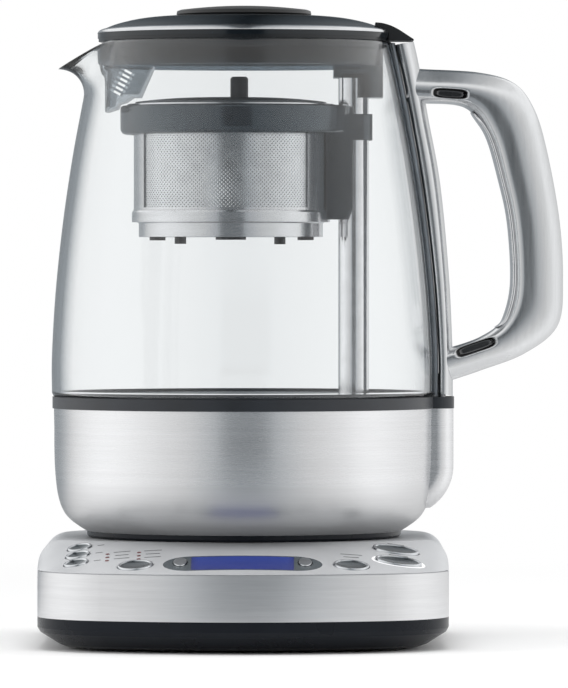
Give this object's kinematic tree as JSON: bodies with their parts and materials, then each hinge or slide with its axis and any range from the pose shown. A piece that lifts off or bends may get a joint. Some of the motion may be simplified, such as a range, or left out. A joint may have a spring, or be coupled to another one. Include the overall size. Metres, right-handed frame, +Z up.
{
  "type": "automatic tea maker",
  "caption": "Glass jug tea maker with a steel heater bowl and loop handle, a basket that rides on a lift post, and a power base with a sloping button panel.",
  "frame": {"origin": "on the jug's vertical axis at table level, on the underside of the rubber feet", "axes": "+X towards the handle, -X the spout, +Y towards the rear and the cord bush, -Y the front with the panel, +Z up"},
  "size_m": [0.2186, 0.2096, 0.266],
  "materials": {
    "tray_plastic": "satin black moulded plastic",
    "deck_silver": "silver painted plastic, satin",
    "band_steel": "brushed along its length",
    "bowl_steel": "brushed round its axis",
    "floor_steel": "satin",
    "handle_metal": "cast and satin polished",
    "grip_metal": "polished",
    "post_steel": "polished",
    "post_cap_plastic": "moulded",
    "button_chrome": "bright",
    "button_silver": "metallised",
    "display_frame": "gloss",
    "display_lens": "tinted and lit from behind",
    "display_core": "moulded",
    "lit_white": "lit",
    "lamp_red": "clear lenses",
    "board_green": "circuit board",
    "contact_brass": "plated",
    "clear_glass": "clear borosilicate glass",
    "lid_slate": "satin slate grey",
    "lid_smoke": "smoky clear plastic",
    "trim_steel": "polished",
    "black_rubber": "matt",
    "screw_steel": "plated",
    "element_steel": "oxidised",
    "drum_steel": "satin",
    "screen_steel": "finely perforated",
    "basket_lid_smoke": "satin",
    "magnet_metal": "plated",
    "carriage_plastic": "moulded"
  },
  "bodies": {
    "power_base": {"base_tray": "tray_plastic", "rubber_feet": "black_rubber", "base_screws": "screw_steel", "front_band": "band_steel", "top_deck": "deck_silver", "base_socket": "tray_plastic", "contact_rings": "contact_brass", "control_board": "board_green", "display_surround": "display_frame", "display_window": "display_lens", "display_module": "display_core", "lit_ring": "lit_white", "indicator_lamps": "lamp_red", "cord_gland": "black_rubber", "power_board": "board_green"},
    "jug_connector": {"jug_connector": "tray_plastic"},
    "jug": {"glass_jug": "clear_glass", "steel_bowl": "bowl_steel", "foot_cover": "tray_plastic", "jug_screws": "screw_steel", "seam_ring": "black_rubber", "floor_plate": "floor_steel", "floor_seal": "black_rubber", "heating_element": "element_steel", "temperature_sensor": "element_steel", "gear_motor": "element_steel", "lift_post": "post_steel", "post_cap": "post_cap_plastic", "screw_bearing": "post_cap_plastic", "handle_spine": "handle_metal", "spine_pad": "black_rubber", "handle": "handle_metal", "grip_strip": "grip_metal"},
    "lid": {"lid_cover": "lid_slate", "lid_knob": "black_rubber", "lid_trim": "trim_steel", "lid_sleeve": "lid_smoke", "lid_seal": "black_rubber", "spout_screen": "lid_smoke", "lid_tab": "black_rubber"},
    "basket": {"basket_collar": "lid_slate", "basket_magnets": "magnet_metal", "basket_drum": "drum_steel", "basket_screen": "screen_steel", "basket_base": "drum_steel", "basket_nubs": "black_rubber"},
    "basket_lid": {"basket_lid": "basket_lid_smoke", "basket_lid_knob": "black_rubber"},
    "magnet_carriage": {"magnet_carriage": "carriage_plastic", "carriage_magnets": "magnet_metal"},
    "lead_screw": {"lead_screw": "screw_steel"},
    "button_upper_left": {"button_upper_left": "button_chrome"},
    "button_middle_left": {"button_middle_left": "button_chrome"},
    "button_lower_left": {"button_lower_left": "button_chrome"},
    "button_round_left": {"button_round_left": "button_silver"},
    "button_arrow_left": {"button_arrow_left": "button_chrome"},
    "button_arrow_right": {"button_arrow_right": "button_chrome"},
    "button_round_right": {"button_round_right": "button_silver"},
    "button_start": {"button_start": "button_silver"},
    "button_lift": {"button_lift": "button_silver"}
  },
  "joints": [
    {"name": "button_upper_left_press", "type": "slide", "parent": "power_base", "child": "button_upper_left", "axis": [0.1689, 0.215, -0.9619], "range_m": [0, 0.001], "stiffness_N_per_m": 500, "springref_m": -0.0006},
    {"name": "button_middle_left_press", "type": "slide", "parent": "power_base", "child": "button_middle_left", "axis": [0.1728, 0.2149, -0.9612], "range_m": [0, 0.001], "stiffness_N_per_m": 500, "springref_m": -0.0006},
    {"name": "button_lower_left_press", "type": "slide", "parent": "power_base", "child": "button_lower_left", "axis": [0.1768, 0.2147, -0.9605], "range_m": [0, 0.001], "stiffness_N_per_m": 500, "springref_m": -0.0006},
    {"name": "button_round_left_press", "type": "slide", "parent": "power_base", "child": "button_round_left", "axis": [0.0715, 0.2176, -0.9734], "range_m": [0, 0.001], "stiffness_N_per_m": 500, "springref_m": -0.0006},
    {"name": "button_arrow_left_press", "type": "slide", "parent": "power_base", "child": "button_arrow_left", "axis": [0.0402, 0.218, -0.9751], "range_m": [0, 0.001], "stiffness_N_per_m": 500, "springref_m": -0.0006},
    {"name": "button_arrow_right_press", "type": "slide", "parent": "power_base", "child": "button_arrow_right", "axis": [-0.0402, 0.218, -0.9751], "range_m": [0, 0.001], "stiffness_N_per_m": 500, "springref_m": -0.0006},
    {"name": "button_round_right_press", "type": "slide", "parent": "power_base", "child": "button_round_right", "axis": [-0.0724, 0.2176, -0.9734], "range_m": [0, 0.001], "stiffness_N_per_m": 500, "springref_m": -0.0006},
    {"name": "button_start_press", "type": "slide", "parent": "power_base", "child": "button_start", "axis": [-0.1363, 0.2161, -0.9668], "range_m": [0, 0.001], "stiffness_N_per_m": 500, "springref_m": -0.0006},
    {"name": "button_lift_press", "type": "slide", "parent": "power_base", "child": "button_lift", "axis": [-0.1302, 0.2163, -0.9676], "range_m": [0, 0.001], "stiffness_N_per_m": 500, "springref_m": -0.0006},
    {"name": "jug_lift", "type": "slide", "parent": "power_base", "child": "jug_connector", "axis": [0, 0, 1], "range_m": [0, 0.1]},
    {"name": "jug_swivel", "type": "hinge", "parent": "jug_connector", "child": "jug", "pos_m": [0, 0, 0.048], "axis": [0, 0, 1], "continuous": true},
    {"name": "lid_lift", "type": "slide", "parent": "jug", "child": "lid", "axis": [0, 0, 1], "range_m": [0, 0.08]},
    {"name": "basket_lift", "type": "slide", "parent": "jug", "child": "basket", "axis": [0, 0, 1], "range_m": [-0.06, 0]},
    {"name": "carriage_travel", "type": "slide", "parent": "jug", "child": "magnet_carriage", "axis": [0, 0, 1], "range_m": [-0.0605, 0.0005]},
    {"name": "screw_turn", "type": "hinge", "parent": "jug", "child": "lead_screw", "pos_m": [0.046, 0, 0.1], "axis": [0, 0, 1], "range_deg": [-2701, 1]},
    {"name": "basket_lid_lift", "type": "slide", "parent": "basket", "child": "basket_lid", "axis": [0, 0, 1], "range_m": [0, 0.0012]}
  ],
  "couplings": [
    {"joint": "carriage_travel", "follows": "basket_lift", "ratio": 1},
    {"joint": "screw_turn", "follows": "basket_lift", "rad_per_m": 785.4}
  ]
}
